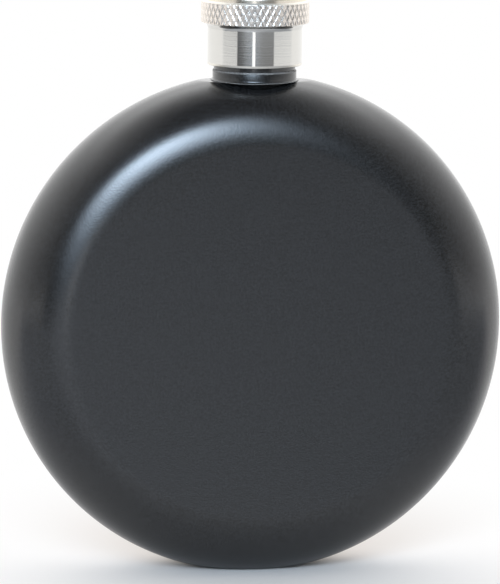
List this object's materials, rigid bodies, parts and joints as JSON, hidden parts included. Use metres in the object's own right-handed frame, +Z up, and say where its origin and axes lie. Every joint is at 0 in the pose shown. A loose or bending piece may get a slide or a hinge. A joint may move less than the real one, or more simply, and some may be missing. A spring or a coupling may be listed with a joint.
{
  "type": "round hip flask",
  "caption": "Round flat-faced steel hip flask in a satin black coat, with a short threaded neck and a diamond-knurled steel cap that unscrews along its thread.",
  "frame": {"origin": "middle of the flat base, on the surface that the flask stands on", "axes": "+Z up along the neck, -Y out of the front face, +X to the right as seen from the front"},
  "size_m": [0.095, 0.025, 0.1089],
  "materials": {
    "black_coat": "satin black powder coat with a fine grain",
    "bare_steel": "polished, with fine turning lines",
    "insert_plastic": "moulded, natural white",
    "seal_silicone": "translucent matt silicone"
  },
  "bodies": {
    "flask": {"front_shell": "black_coat", "rear_shell": "black_coat", "seam_weld": "black_coat", "neck": "black_coat", "neck_weld": "black_coat"},
    "seal": {"cap_gasket": "seal_silicone"},
    "cap": {"cap_shell": "bare_steel", "cap_insert": "insert_plastic"}
  },
  "joints": [
    {"name": "cap_rise", "type": "slide", "parent": "flask", "child": "seal", "axis": [0, 0, 1], "range_m": [0, 0.0103]},
    {"name": "cap_turn", "type": "hinge", "parent": "seal", "child": "cap", "pos_m": [0, 0, 0.1], "axis": [0, 0, 1], "range_deg": [0, 1845]}
  ],
  "couplings": [
    {"joint": "cap_rise", "follows": "cap_turn", "m_per_rad": 0.00031831}
  ]
}
